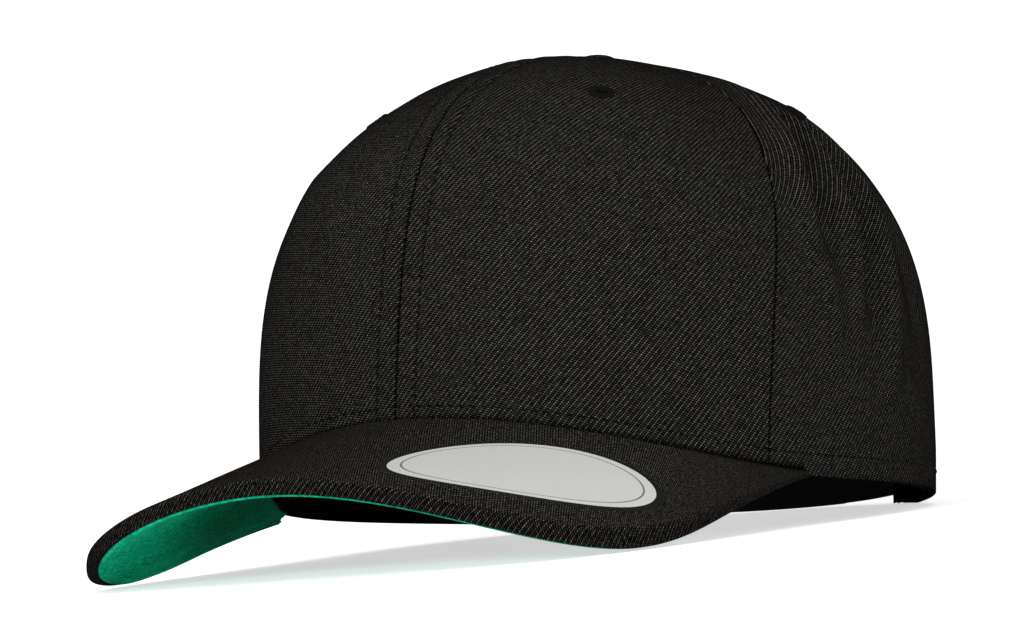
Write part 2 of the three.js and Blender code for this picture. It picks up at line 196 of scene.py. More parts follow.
def unit(vectors):
    """Vectors at length one."""
    return vectors / np.maximum(np.linalg.norm(vectors, axis=-1, keepdims=True), 1e-12)


def crown_normal(angle, share):
    """Square to the crown: the cross product of the steps across and up."""
    step = 1e-4
    across = crown_surface(angle + step, share) - crown_surface(angle - step, share)
    up = crown_surface(angle, share + step) - crown_surface(angle, share - step)
    return unit(np.cross(across, up))


def crown_point(angle, share, depth=0.0):
    """A point at a depth below the folded outer face."""
    lift = (fold_rise(angle, share) - depth)[..., None]
    return crown_surface(angle, share) + crown_normal(angle, share) * lift


def rear_angle(distance):
    """The angle at a distance around the rim from the middle of the back."""
    return np.pi - distance / RIM_HALF_WIDTH


# %% [markdown]
# ## The shape of the visor
# The visor is a curved plate that was cut flat, with a squarish front edge,
# and bent to an arch. Its points run from the crown's line to the outer edge.

# %% The visor as a function
def visor_outline(u):
    """A squarish quarter oval around the front, then a gentle line to the corner."""
    bend = 0.72
    corner_x, corner_y = rim_plan(np.radians(CORNER_ANGLE))
    along = np.abs(u)
    turn = np.clip(along / bend, 0, 1) * np.pi / 2
    powers = np.sin(turn) ** VISOR_SQUARENESS + np.cos(turn) ** VISOR_SQUARENESS
    scale = powers ** (-1 / VISOR_SQUARENESS)
    front_x = VISOR_HALF_WIDTH * np.sin(turn) * scale
    front_y = -VISOR_WIDEST - (VISOR_FRONT - VISOR_WIDEST) * np.cos(turn) * scale
    back = np.clip((along - bend) / (1 - bend), 0, 1)
    side_x = mix(VISOR_HALF_WIDTH, corner_x + CORNER_WIDTH, back ** 2)
    side_y = mix(-VISOR_WIDEST, corner_y, back)
    bent = along <= bend
    return np.sign(u) * np.where(bent, front_x, side_x), np.where(bent, front_y, side_y)


def below_visor_top(x, y, depth):
    """A point under the top face, with its depth measured square to that face."""
    step = 0.01
    slope_x = (visor_top(x + step, y) - visor_top(x - step, y)) / (2 * step)
    slope_y = (visor_top(x, y + step) - visor_top(x, y - step)) / (2 * step)
    steepness = np.sqrt(1 + slope_x ** 2 + slope_y ** 2)
    return np.stack(np.broadcast_arrays(x, y, visor_top(x, y) - depth * steepness), -1)


def visor_edges(u):
    """At u: the crown's line, x and y of the outer edge, and the width between the two."""
    inner = crown_point(u * np.radians(CORNER_ANGLE), VISOR_TUCK / CROWN_HEIGHT, -CLEARANCE + 0 * u)
    outer_x, outer_y = visor_outline(u)
    return inner, outer_x, outer_y, np.hypot(outer_x - inner[..., 0], outer_y - inner[..., 1])


def visor_point(u, v, depth, inset=0.0, thinning=CORNER_THINNING, thins_from=THINS_FROM):
    """u runs from corner to corner, v from the crown outwards."""
    most_inset = 0.4
    inner, outer_x, outer_y, width = visor_edges(u)
    reach = v * (1 - np.minimum(inset / width, most_inset))
    x, y = mix(inner[..., 0], outer_x, reach), mix(inner[..., 1], outer_y, reach)
    return below_visor_top(x, y, depth * (1 - thinning * smooth(np.abs(u), thins_from, 1)))


# %% [markdown]
# ## How the cap stands
# Left alone, a cap tips back until its visor's tips and the two corners of
# its back hem touch the table. The tilt is found by halving an interval, as
# in the plain model, and the model's own box then gives the last shift.

# %% The tilt and the way to the frame
UNDERSIDE_DEPTH = COVER_WALL + CLEARANCE
edge_u = np.linspace(-1, 1, VISOR_COLUMNS + 1)
visor_edge = np.concatenate([
    visor_point(edge_u, 1.0, COVER_WALL),
    visor_point(edge_u, 1.0, UNDERSIDE_DEPTH + UNDERSIDE_WALL, UNDERSIDE_INSET),
])
back_corner = crown_point(rear_angle(np.full(2, OPENING_HALF_WIDTH)), np.zeros(2), np.array([0, WALL]))


def lowest(points, tilt):
    """The lowest point once the cap is tipped back by the tilt."""
    return (points[:, 2] * np.cos(tilt) - points[:, 1] * np.sin(tilt)).min()


low_tilt, high_tilt = 0.0, np.radians(30)
for _ in range(50):
    tilt = (low_tilt + high_tilt) / 2
    if lowest(visor_edge, tilt) < lowest(back_corner, tilt) + PRESSED:
        low_tilt = tilt
    else:
        high_tilt = tilt
LIFT = -lowest(visor_edge, tilt)


def tipped(points):
    """Turned about X by the tilt and lifted onto the floor."""
    x, y, z = np.moveaxis(points, -1, 0)
    c, s = np.cos(tilt), np.sin(tilt)
    return np.stack([x, y * c + z * s, z * c - y * s + LIFT], -1)


cover_front = tipped(np.concatenate([visor_point(edge_u, 1.0, 0.0), visor_point(edge_u, 1.0, COVER_WALL)]))
button_low, button_high = (np.array(corner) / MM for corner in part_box("top_button"))
visor_low = np.array(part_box("visor_cover")[0]) / MM
SHIFT = np.array([(button_low[0] + button_high[0]) / 2, visor_low[1] - cover_front[:, 1].min(), 0])


def place(points, press=True):
    """From the cap's own millimetres to the frame's metres, pressed onto the floor."""
    points = tipped(points) + SHIFT
    if press:
        points[..., 2] = np.maximum(points[..., 2], 0)
    return points * MM


print("tilt", round(float(np.degrees(tilt)), 2), "lift", round(float(LIFT), 2), "shift", SHIFT.round(2))

# %% [markdown]
# ## From arrays to meshes
# A surface on a grid becomes a mesh with one quad for each cell. Cloth is
# woven flat and sewn afterwards, so each piece also gets a map of its own
# cloth in millimetres, measured along the surface, and the weave follows it.

# %% Mesh helpers
def make_object(name, verts, faces, cloth_map=None, smooth_shading=True, clear_of_painted_shade=None):
    """A mesh object from arrays; the map gives two coordinates for each vertex."""
    mesh = bpy.data.meshes.new(name)
    mesh.from_pydata(np.asarray(verts).reshape(-1, 3).tolist(), [], np.asarray(faces).tolist())
    if cloth_map is not None:
        corners = np.empty(len(mesh.loops), dtype=np.int32)
        mesh.loops.foreach_get("vertex_index", corners)
        uv = mesh.uv_layers.new(name="cloth")
        uv.data.foreach_set("uv", np.asarray(cloth_map, dtype=float).reshape(-1, 2)[corners].ravel())
    if clear_of_painted_shade is not None:
        values = mesh.attributes.new("clear_of_painted_shade", "FLOAT", "POINT")
        values.data.foreach_set("value", np.asarray(clear_of_painted_shade, dtype=float).ravel())
    mesh.polygons.foreach_set("use_smooth", [smooth_shading] * len(mesh.polygons))
    mesh.validate()
    obj = bpy.data.objects.new(name, mesh)
    bpy.context.scene.collection.objects.link(obj)
    return obj


def grid_faces(rows, columns, closed=False):
    """The quads of a grid of points; a closed one joins its last column to its first."""
    i, j = np.meshgrid(np.arange(rows - 1), np.arange(columns if closed else columns - 1), indexing="ij")
    k = (j + 1) % columns
    row, next_row = i * columns, (i + 1) * columns
    return np.stack([row + j, row + k, next_row + k, next_row + j], -1).reshape(-1, 4)


def repeated(faces, count):
    """The same faces for each of several equal sets of points."""
    start = np.arange(count) * (faces.max() + 1)
    return (faces[None] + start[:, None, None]).reshape(-1, 4)


def surface_map(points):
    """Distances along the middle column and along each row, in millimetres."""
    middle = points.shape[1] // 2
    across = run_length(points, 1)
    across -= across[:, middle:middle + 1]
    return np.stack([across, run_length(points[:, middle])[:, None] + 0 * across], -1)


def thicken(obj, thickness):
    """A wall grown inwards from the surface."""
    wall = obj.modifiers.new("wall", "SOLIDIFY")
    wall.thickness = thickness * MM
    wall.offset = -1
    wall.use_even_offset = False
    return obj


def finish(obj, material, slot, *nodes):
    """Gives a piece its material, its place in the model and the nodes it stands for; the slot is not used.
    """
    obj.data.materials.append(material)
    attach(obj, "root")
    if nodes:
        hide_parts(*nodes)
    print(obj.name, len(obj.data.polygons), "faces")
    return obj


# %% [markdown]
# ## The weave
# The cloth is a twill: the threads step sideways row by row and draw fine
# diagonal ribs, and each rib is a chain of short thread floats, each with a
# painted highlight dot on its top. Stripes of the turned map give the ribs, a
# second set of stripes cuts them into floats, and a random value for each
# float sets how bright its painted highlight is. The group is used by the
# crown, the visor and the button.

# %% A small kit for node groups
def new_group(name, inputs, outputs):
    """A shader node group with named sockets; inputs map a name to its kind and value."""
    group = bpy.data.node_groups.new(name, "ShaderNodeTree")
    for label, (kind, value) in inputs.items():
        socket = group.interface.new_socket(label, in_out="INPUT", socket_type="NodeSocket" + kind)
        if value is not None:
            socket.default_value = value
    for label, kind in outputs.items():
        group.interface.new_socket(label, in_out="OUTPUT", socket_type="NodeSocket" + kind)
    return group, group.nodes.new("NodeGroupInput"), group.nodes.new("NodeGroupOutput")


def feed(tree, node, inputs):
    """Sets a node's inputs to plain values, or links them to sockets."""
    for key, value in inputs.items():
        if hasattr(value, "is_output"):
            tree.links.new(value, node.inputs[key])
        else:
            node.inputs[key].default_value = value


def add_node(tree, kind, inputs, **settings):
    """A shader node with its settings and its inputs."""
    node = tree.nodes.new("ShaderNode" + kind)
    for name, value in settings.items():
        setattr(node, name, value)
    feed(tree, node, inputs)
    return node


def math(tree, operation, *values, clamp=False):
    """A Math node on sockets or plain numbers."""
    inputs = dict(enumerate(values))
    return add_node(tree, "Math", inputs, operation=operation, use_clamp=clamp).outputs[0]


def noise(tree, vector, scale, detail=2.0, roughness=0.5):
    """The value of a Noise Texture on a vector."""
    inputs = {"Vector": vector, "Scale": scale, "Detail": detail, "Roughness": roughness}
    return add_node(tree, "TexNoise", inputs).outputs["Fac"]


def colour_mix(tree, factor, dark, light):
    """A colour between two, which are sockets or plain colours."""
    inputs = {0: factor, 6: dark, 7: light}
    return add_node(tree, "Mix", inputs, data_type="RGBA", clamp_factor=True).outputs[2]


def camera_ray(tree):
    """One where the camera looks, zero for all other light."""
    return add_node(tree, "LightPath", {}).outputs["Is Camera Ray"]


# %% The twill group
TWILL_ANGLE, TWILL_PITCH, FLOAT_SHARE = 53.0, 1.19, 0.56
LOWER_LANE, LANE_STAGGER, FLOAT_SLANT = -0.48, 0.41, 0.5


def twill_group():
    """Lanes of floats at half the pitch: every second one is lower; Shine is each float's painted highlight.
    """
    group, given, out = new_group("twill", {
        "Vector": ("Vector", None), "Angle": ("Float", TWILL_ANGLE), "Pitch": ("Float", TWILL_PITCH),
        "Float length": ("Float", 0.67), "Waviness": ("Float", 1.2),
    }, {"Height": "Float", "Shine": "Float", "Tone": "Float"})
    calc = partial(math, group)
    vector, angle, pitch, float_length, waviness = list(given.outputs)[:5]
    drift = calc("MULTIPLY", calc("SUBTRACT", noise(group, vector, 0.045, 1), 0.5), waviness)
    x, y, _ = add_node(group, "SeparateXYZ", {0: vector}).outputs
    radians = calc("RADIANS", angle)
    c, s = calc("COSINE", radians), calc("SINE", radians)
    along = calc("ADD", calc("MULTIPLY", x, c), calc("MULTIPLY", y, s))
    across = calc("SUBTRACT", calc("MULTIPLY", y, c), calc("MULTIPLY", x, s))
    lane = calc("MULTIPLY_ADD", calc("DIVIDE", across, pitch), 2.0, drift)
    lane_number = calc("FLOOR", lane)
    lane_place = calc("SUBTRACT", lane, lane_number)
    low_lane = calc("ABSOLUTE", calc("MODULO", lane_number, 2.0))
    stagger = calc("MULTIPLY", lane_number, LANE_STAGGER)
    step = calc("ADD", calc("DIVIDE", along, float_length), stagger)
    slant = calc("MULTIPLY_ADD", lane_place, FLOAT_SLANT, step)
    float_number = calc("FLOOR", slant)
    float_place = calc("SUBTRACT", slant, float_number)
    crest, bead = (calc("POWER", calc("SINE", calc("MULTIPLY", spot, np.pi)), 1.2)
                   for spot in (lane_place, float_place))
    cell = add_node(group, "CombineXYZ", {0: lane_number, 1: float_number}).outputs[0]
    dice = add_node(group, "TexWhiteNoise", {"Vector": cell}, noise_dimensions="2D").outputs["Value"]
    round_top = calc("MULTIPLY", crest, calc("MULTIPLY_ADD", bead, 0.65, 0.35))
    height = calc("MULTIPLY", round_top, calc("MULTIPLY_ADD", low_lane, LOWER_LANE, 1.0))
    luck = calc("MULTIPLY_ADD", dice, 0.65, 0.35)
    # painted highlight: brightest on the top of each float, its strength made random by luck
    lit = calc("MULTIPLY", calc("POWER", height, 1.8), calc("MULTIPLY_ADD", bead, 0.9, 0.1))
    shine = calc("MULTIPLY", lit, luck)
    feed(group, out, {"Height": height, "Shine": shine, "Tone": noise(group, vector, 0.04, 2)})
    return group


TWILL = twill_group()


# %% [markdown]
# ## Cloth finishes
# Cotton-like twill is matt and nearly black, with a painted sheen at grazing
# angles. Its material reads the piece's cloth map, paints shade into the
# hollows, paints highlights onto single floats, paints shade into seams and
# junctions and uses the weave's height for the bump.

# %% Materials
BLACK = (0, 0, 0, 1)


def new_material(name, roughness, specular=0.03):
    """An empty material with its shader; returns the material, its tree and the shader."""
    material = bpy.data.materials.new(name)
    material.use_nodes = True
    tree = material.node_tree
    shader = tree.nodes["Principled BSDF"]
    feed(tree, shader, {"Roughness": roughness, "Specular IOR Level": specular})
    return material, tree, shader


def uv_vector(tree):
    """The piece's own cloth map, in millimetres."""
    return add_node(tree, "UVMap", {}, uv_map="cloth").outputs[0]


def bump(tree, shader, height, strength, distance):
    """Feeds a height to the shader's normal; the distance is in millimetres."""
    inputs = {"Strength": strength, "Distance": distance * MM, "Height": height}
    feed(tree, shader, {"Normal": add_node(tree, "Bump", inputs).outputs[0]})


def twill_material(name, rib, glint, sheen_colour, angle, relief, shade_level, speckle):
    """Twill cloth: dark ribs, painted shade in hollows and seams, painted highlights on a few floats, a
    painted grazing sheen.
    """
    material, tree, shader = new_material(name, 0.78, 0.0)
    calc = partial(math, tree)
    vector = uv_vector(tree)
    sizes = {"Angle": angle, "Pitch": TWILL_PITCH, "Float length": TWILL_PITCH * FLOAT_SHARE}
    weave = add_node(tree, "Group", {"Vector": vector, **sizes}, node_tree=TWILL)
    height, shine, tone = (weave.outputs[label] for label in ("Height", "Shine", "Tone"))
    toned = calc("MULTIPLY_ADD", tone, 0.3, -0.15)
    # painted shade: the hollows of the weave go black, the tops keep the rib colour
    base = colour_mix(tree, calc("ADD", height, toned, clamp=True), BLACK, rib)
    grain = calc("MULTIPLY_ADD", noise(tree, vector, 1.0, 2), speckle, 1 - speckle / 2)
    # painted highlight: shining floats take the glint colour, since the shader's specular is off
    shining = calc("MULTIPLY", shine, calc("MAXIMUM", grain, 0.0), clamp=True)
    woven = colour_mix(tree, shining, base, glint)
    # painted sheen: towards grazing angles the colour turns to the sheen colour
    facing = add_node(tree, "LayerWeight", {"Blend": 0.5}).outputs["Facing"]
    grazing_sheen = calc("MULTIPLY", calc("POWER", facing, 4.0), 0.9, clamp=True)
    sheened = colour_mix(tree, grazing_sheen, woven, sheen_colour)
    # painted shade: where the piece's attribute is below one, the colour darkens towards the shade level
    # (seams, the crown's foot at the visor, the visor's edge band)
    clear_of_painted_shade = add_node(tree, "Attribute", {}, attribute_name="clear_of_painted_shade").outputs["Fac"]
    painted_shade_factor = calc("MULTIPLY_ADD", clear_of_painted_shade, 1.0 - shade_level, shade_level)
    feed(tree, shader, {
        "Base Color": colour_mix(tree, painted_shade_factor, BLACK, sheened),
        "Roughness": calc("MULTIPLY_ADD", shine, -0.35, 0.82),
    })
    bump(tree, shader, height, 0.9, relief)
    return material


# colours: rib, painted highlight on the floats, painted sheen at grazing angles
CROWN_TWILL = twill_material(
    "crown twill", (0.0003, 0.0003, 0.0002, 1), (0.195, 0.189, 0.168, 1), (0.0062, 0.0058, 0.005, 1),
    angle=TWILL_ANGLE, relief=0.25, shade_level=0.1, speckle=1.0)
VISOR_TWILL = twill_material(
    "visor twill", (0.0015, 0.0014, 0.0012, 1), (0.22, 0.21, 0.184, 1), (0.0095, 0.007, 0.006, 1),
    angle=-52.0, relief=0.15, shade_level=0.15, speckle=4.0)


def grained_material(name, dark, light, roughness=0.55, specular=0.03,
                     scale=3000, strength=0.4, distance=0.08):
    """A finely grained surface: the fibres of a thread, or moulded plastic."""
    material, tree, shader = new_material(name, roughness, specular)
    grain = noise(tree, add_node(tree, "TexCoord", {}).outputs["Object"], scale, 2)
    feed(tree, shader, {"Base Color": colour_mix(tree, grain, dark, light)})
    bump(tree, shader, grain, strength, distance)
    return material, tree, shader, grain


HEM_THREAD = grained_material("hem thread", (0.0004, 0.0004, 0.0003, 1), (0.004, 0.0038, 0.0034, 1))[0]
THREAD = grained_material("sewing thread", (0.0012, 0.0012, 0.001, 1), (0.008, 0.0076, 0.0068, 1))[0]


def flat_cloth_material(name, dark, light, threads=2.2):
    """Plain woven cloth: crossing threads from two sine stripes, with fine and broad mottling."""
    material, tree, shader = new_material(name, 0.85)
    calc = partial(math, tree)
    vector = uv_vector(tree)
    x, y, _ = add_node(tree, "SeparateXYZ", {0: vector}).outputs
    warp, weft = (calc("SINE", calc("MULTIPLY", axis, threads * 2 * np.pi)) for axis in (x, y))
    weave = calc("MULTIPLY_ADD", calc("MULTIPLY", warp, weft), 0.5, 0.5)
    fine, broad = noise(tree, vector, 0.6, 3, 0.7), noise(tree, vector, 0.08, 2)
    mottle = calc("ADD", broad, calc("MULTIPLY_ADD", fine, 3.4, -1.75))
    tone = calc("MULTIPLY_ADD", weave, 0.2, mottle, clamp=True)
    feed(tree, shader, {"Base Color": colour_mix(tree, tone, dark, light)})
    bump(tree, shader, calc("ADD", weave, fine), 0.6, 0.12)
    return material


GREEN_CLOTH = flat_cloth_material("green cloth", (0.001, 0.30, 0.16, 1), (0.012, 0.74, 0.40, 1))
BAND_CLOTH = flat_cloth_material(
    "sweatband cloth", (0.004, 0.004, 0.0036, 1), (0.014, 0.0135, 0.0125, 1), threads=1.4)


# %% [markdown]
# ## The crown's panels
# Six gores of twill are sewn edge to edge, and their edges turn inwards, so
# every seam is a fine groove, darkened with painted shade. Beside the front
# seam the cloth is lifted by the folded allowance and held down again by two
# rows of top stitching.
# Each panel is a fine grid between its two seams. Its edges dip into the
# seam, and soft waves too small for the plain model are added on top.

# %% Panel surfaces
SEAM_DIP, SEAM_WIDTH = 0.75, 0.34
TOPSTITCH_AWAY, HEM_STITCH_AWAY = 5.8, 6.2
ALLOWANCE_LIFT, HEM_LIFT, EDGE_ROLL = 0.28, 0.35, 0.5
TOPSTITCH_DIP, HEM_STITCH_DIP = 0.22, 0.2
CLOTH_WALL, EYELET_CUT, TOP_ROW = 1.3, 1.9, 0.985
PANELS = [
    ("front_panel_left", 1, "centre front", "front side", 37),
    ("front_panel_right", -1, "centre front", "front side", 37),
    ("side_panel_left", 1, "front side", "side back", 98),
    ("side_panel_right", -1, "front side", "side back", 98),
    ("back_panel_left", 1, "side back", "centre back", 150),
    ("back_panel_right", -1, "side back", "centre back", 150),
]
EYELET_SHARE = 0.84
CROWDING = 2.2


def seam_angle(name, share):
    """The seam's angle eases from its foot to its top."""
    foot, top, late = SEAMS[name]
    return np.radians(mix(foot, top, np.maximum(share, 0) ** late))


def row_share(w):
    """Rows crowd towards the top, where the crown turns over."""
    return 1 - (1 - w) ** CROWDING


def row_of(share):
    """The row parameter that a share of the height lies on."""
    return 1 - (1 - share) ** (1 / CROWDING)


def opening_foot(angle):
    """Height share of the half-moon opening's edge at an angle near the back."""
    away = (np.pi - np.abs(angle)) * RIM_HALF_WIDTH / OPENING_HALF_WIDTH
    return OPENING_HEIGHT / CROWN_HEIGHT * np.sqrt(np.maximum(1 - away ** 2, 0))


def soft_waves(angle, share, side):
    """Three slow sines, fading out at the rim, on top and at the centre seams."""
    from_centre = smooth(np.abs(np.sin(angle)), 0, 0.05)
    fade = smooth(share, 0.02, 0.3) * (1 - smooth(share, 0.88, 0.98)) * from_centre
    waves = np.sin(7.1 * angle + 9 * share + side) + 0.6 * np.sin(13.7 * angle - 5 * share)
    return 0.16 * fade * (waves + 0.5 * np.sin(23 * angle + 14 * share ** 2))


def from_opening(angle, share):
    """Distance in mm from the half-moon opening's edge, measured as on its own oval."""
    across = (np.pi - np.abs(angle)) * RIM_HALF_WIDTH / OPENING_HALF_WIDTH
    up = share * CROWN_HEIGHT / OPENING_HEIGHT
    return (np.hypot(across, up) - 1) * (OPENING_HALF_WIDTH + OPENING_HEIGHT) / 2


def panel_grid(panel, columns, rows):
    """Angles and height shares over the panel, with columns bunched at the opening's corner."""
    _, side, first, last, _ = panel
    start = seam_angle(first, 0)
    even = np.linspace(0, 1, columns)
    u, foot = even - 0.13 * np.sin(2 * np.pi * even), 0 * even
    if last == "centre back":
        plain = 0.45
        edge = (rear_angle(OPENING_HALF_WIDTH) - start) / (np.pi - start)
        turn = np.clip((even - plain) / (1 - plain), 0, 1) * np.pi / 2
        u = np.where(even <= plain, edge * even / plain, 1 - (1 - edge) * np.cos(turn))
        foot = opening_foot(mix(start, seam_angle(last, 0), u))
    share = row_share(mix(row_of(foot)[None], TOP_ROW, np.linspace(0, 1, rows)[:, None]))
    across = mix(seam_angle(first, share), seam_angle(last, share), u[None])
    return side * across, share


def build_panel(panel, columns=150, rows=150):
    """The folded crown, dipped at its seams and held down along its top stitching."""
    name, side, first, last, eyelet_at = panel
    angle, share = (grid[:, ::side] for grid in panel_grid(panel, columns, rows))
    base = crown_point(angle, share, 0 * share)
    run = run_length(base, 1)
    to_first, to_last = (run, run[:, -1:] - run)[::side]
    dip = SEAM_DIP * (bell(to_first, 0, SEAM_WIDTH) + bell(to_last, 0, SEAM_WIDTH))
    for seam, distance in (("centre front", to_first), ("centre back", to_last)):
        if seam in (first, last):
            pucker = 0.08 * np.sin(share * 260 + 3 * np.sin(share * 45)) * bell(distance, 2.5, 1.8)
            dip = dip - pucker * smooth(share, 0.05, 0.15)
            dip = dip - ALLOWANCE_LIFT * bell(distance, 3.2, 2.2)
            dip = dip + TOPSTITCH_DIP * bell(distance, TOPSTITCH_AWAY, 0.7)
    if last == "centre back":
        from_edge = from_opening(angle, share)
        dip = dip - HEM_LIFT * (1 - smooth(from_edge, 7.5, 8.6)) + EDGE_ROLL * (1 - smooth(from_edge, 0, 0.9))
        dip = dip + HEM_STITCH_DIP * bell(from_edge, HEM_STITCH_AWAY, 0.7)
    points = crown_point(angle, share, dip - soft_waves(angle, share, side))
    faces = grid_faces(rows, columns)
    centre = crown_point(np.array([side * np.radians(eyelet_at)]), np.array([EYELET_SHARE]), np.zeros(1))
    middle = base.reshape(-1, 3)[faces].mean(axis=1)
    faces = faces[np.linalg.norm(middle - centre, axis=1) > EYELET_CUT]
    # painted shade: darker within half a millimetre of each seam and in the lowest millimetre of the crown
    # above the visor
    above_rim = (share - opening_foot(angle)) * CROWN_HEIGHT - VISOR_TUCK
    clear_of_visor_shade = np.where(np.abs(angle) < np.radians(CORNER_ANGLE), smooth(above_rim, 0, 1.0), 1)
    clear_of_painted_shade = smooth(np.minimum(to_first, to_last), 0.0, 0.5) * clear_of_visor_shade
    obj = make_object(name + "_cloth", place(points), faces, surface_map(base), clear_of_painted_shade=clear_of_painted_shade)
    return finish(thicken(obj, CLOTH_WALL), CROWN_TWILL, "crown_twill", name)


for panel in PANELS:
    build_panel(panel)


# %% [markdown]
# ## Stitches
# A line of lockstitch is a row of short threads that lie on the cloth and
# dive into it at both ends. One stitch is a rounded grain, as a grid of two
# angles, and one array operation sets a copy along every step of a line.

# %% Rows of stitches
STITCH_PITCH, STITCH_LENGTH, STITCH_THICKNESS = 3.0, 2.5, 0.42


def resample(path, normals, pitch):
    """Points at equal steps along a path, with the normals and the path's direction."""
    run = run_length(path)
    at = np.arange(pitch / 2, run[-1] - pitch / 2, pitch)

    def between(values, where):
        return np.stack([np.interp(where, run, column) for column in values.T], -1)

    point = between(path, at)
    return point, unit(between(normals, at)), unit(between(path, at + 0.2) - point)


def stitch_points(path, normals, thickness):
    """Grains along a path, half the thickness proud of it, their ends tucked under."""
    point, normal, along = resample(path, normals, STITCH_PITCH)
    side = unit(np.cross(normal, along))
    a, b = np.linspace(-1, 1, 7)[:, None], full_turn(8)
    girth = np.sqrt(np.maximum(1 - a ** 6, 0)) * thickness / 2
    forward = a * STITCH_LENGTH / 2 + 0 * b
    outward = girth * np.sin(b) + thickness * (0.25 - 0.5 * a ** 4)
    verts = point[:, None, None]
    for axis, amount in ((along, forward), (side, girth * np.cos(b)), (normal, outward)):
        verts = verts + axis[:, None, None] * amount[None, ..., None]
    return verts


def stitch_object(name, lines, material, thickness=STITCH_THICKNESS):
    """All the stitches of several lines as one piece."""
    verts = np.concatenate([stitch_points(*line, thickness) for line in lines])
    faces = repeated(grid_faces(*verts.shape[1:3], closed=True), len(verts))
    return finish(make_object(name, place(verts), faces), material, "eyelet_thread")


def on_cloth(angle, share, depth):
    """Points at a depth under the soft cloth, and the directions square to it."""
    waves = soft_waves(angle, share, np.sign(np.sin(angle)))
    return crown_point(angle, share, depth - waves), crown_normal(angle, share)


def seam_side_lines(seam, low, high=0.97, depth=0.12, count=160):
    """Lines that keep their distance on both sides of a middle seam, from a low to a high share."""
    share = np.linspace(low, high, count)
    centre = np.full(count, np.radians(SEAMS[seam][0]))
    here = crown_point(centre, share, 0 * share)
    beside = crown_point(centre + 0.01, share, 0 * share)
    per_radian = np.linalg.norm(beside - here, axis=1) / 0.01
    return [on_cloth(centre + away / per_radian, share, depth) for away in (-TOPSTITCH_AWAY, TOPSTITCH_AWAY)]


back_low = (OPENING_HEIGHT + 9) / CROWN_HEIGHT
top_lines = seam_side_lines("centre front", 0.03) + seam_side_lines("centre back", back_low)
stitch_object("crown_topstitching", top_lines, THREAD)


def rim_line(height, reach, count=900):
    """A line at a height above the rim, equally far around on both sides."""
    angle = np.linspace(-reach, reach, count)
    return on_cloth(angle, np.full(count, height / CROWN_HEIGHT), 0.0)


def arch_line(away):
    """A line around the half-moon opening, at a distance from its edge."""
    turn = np.linspace(0.05, np.pi - 0.05, 400)
    half_width, height = OPENING_HALF_WIDTH + away, OPENING_HEIGHT + away
    angle = np.pi - half_width / RIM_HALF_WIDTH * np.cos(turn)
    return on_cloth(angle, height / CROWN_HEIGHT * np.sin(turn), -0.05)


hem_lines = [rim_line(VISOR_TUCK + 3.4, rear_angle(OPENING_HALF_WIDTH + 9))]
hem_lines += [arch_line(away) for away in (HEM_STITCH_AWAY, 1.6)]
stitch_object("hem_stitching", hem_lines, HEM_THREAD, thickness=0.3)


# %% [markdown]
# ## Eyelets
# An eyelet is a hole overcast with a dense ring of thread, so its ring is
# made of fine radial ridges. A half round swept in a circle gives the ring,
# and a wave around it gives the threads.

# %% Six eyelets
def stand_on_crown(local, angle, share):
    """Local points with +Z out of the crown, set on the crown at an angle and share."""
    centre = crown_point(np.array([angle]), np.array([share]), np.zeros(1))[0]
    normal = crown_normal(np.array([angle]), np.array([share]))[0]
    across = unit(np.cross(np.array([0, 0, 1.0]), normal))
    up = np.cross(normal, across)
    return centre + local[..., :1] * across + local[..., 1:2] * up + local[..., 2:] * normal


def eyelet_ring(threads=30, hole=1.4, flange=3.5):
    """A half oval section from the hole to the flange, its height rippled around."""
    around = full_turn(threads * 8)
    section = np.linspace(-0.75, 1.0, 14)[:, None] * np.pi / 2 + np.pi / 2
    ripple = 0.5 + 0.5 * np.abs(np.sin(threads / 2 * around))
    ragged = 1 + 0.03 * np.sin(7 * around + 1) + 0.02 * np.sin(17 * around)
    middle, half = (hole + flange) / 2, (flange - hole) / 2
    radius = (middle - half * np.cos(section)) * ragged
    height = -0.35 + np.sin(section) * (0.75 + 0.25 * ripple)
    radius = np.concatenate([radius[:1] * 0 + hole, radius])
    return turned(radius, np.concatenate([height[:1] * 0 - WALL, height]), around)


ring = eyelet_ring()
for name, side, _, _, eyelet_at in PANELS:
    points = stand_on_crown(ring, side * np.radians(eyelet_at), EYELET_SHARE)
    node = name.replace("panel", "eyelet")
    obj = make_object(node + "_thread", place(points), grid_faces(*ring.shape[:2], closed=True))
    finish(obj, THREAD, "eyelet_thread", node)


# %% [markdown]
# ## The top button
# A metal shell covered with a disc of the same twill closes the meeting point
# of the six seams. It is a low dome turned about its axis, a little puckered
# where the cloth is gathered under it.

# %% Button
def button_dome(radius=6.1, height=4.2, columns=96, rows=26):
    """A round dome whose lower edge rolls under and is finely puckered."""
    turn = np.linspace(-0.45, 1, rows)[:, None] * np.pi / 2
    around = full_turn(columns)
    pucker = 1 + 0.012 * np.cos(12 * around) * np.cos(np.maximum(turn, 0)) ** 3
    z = 0.9 + np.where(turn > 0, height - 0.9, 1.6) * np.sin(turn)
    return turned(radius * np.cos(turn) ** 0.75 * pucker, z, around)


dome = button_dome()
apex = np.array([0, TOP_SHIFT, CROWN_HEIGHT - 1.9])
dome_faces = grid_faces(*dome.shape[:2], closed=True)
# no painted shade on the button
clear_of_painted_shade = np.ones(dome.shape[:2])
button = make_object("button_cloth", place(dome + apex), dome_faces, dome[..., :2], clear_of_painted_shade=clear_of_painted_shade)
finish(button, CROWN_TWILL, "crown_twill", "top_button")


# %% [markdown]
# ## The visor
# Twill is wrapped over a stiff board and around its thick outer edge, and a
# green cloth is sewn beneath. The cover is one closed section, carried from
# corner to corner: flat on top, square-rounded at the edge and turned under.

# %% Visor cover and underside
EXTRA_ABOVE, EXTRA_BELOW = 0.3, 0.35
COVER_ROUNDING, COVER_FULLER, GREEN_SET_IN = 1.1, 1.1, 2.2
GREEN_RUNS_IN = 3.4


